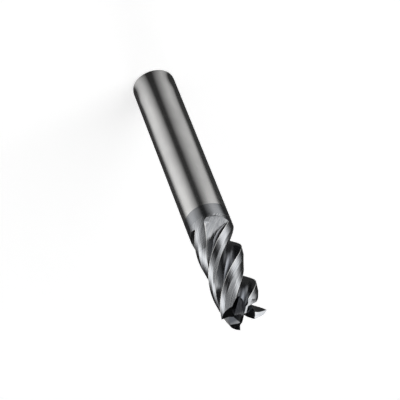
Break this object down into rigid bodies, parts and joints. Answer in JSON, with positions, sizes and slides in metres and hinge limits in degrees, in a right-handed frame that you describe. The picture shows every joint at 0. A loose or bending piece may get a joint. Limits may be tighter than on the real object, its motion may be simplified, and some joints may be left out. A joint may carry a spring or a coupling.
{
  "type": "end mill",
  "caption": "Solid square end mill with helical flutes, relieved cutting lands, gashed centre-cutting end teeth and a plain round shank.",
  "frame": {"origin": "centre of the flat end face of the shank, on which the tool stands", "axes": "+Z along the tool's axis, from the shank end to the teeth; +X through the corner of one short end tooth"},
  "size_m": [0.01, 0.01, 0.072],
  "materials": {
    "carbide": "ground cemented carbide, bare and bright on the shank, with a dark grey hard coating from the flutes' run-out to the tip"
  },
  "bodies": {
    "root": {"end_mill": "carbide"}
  },
  "joints": []
}
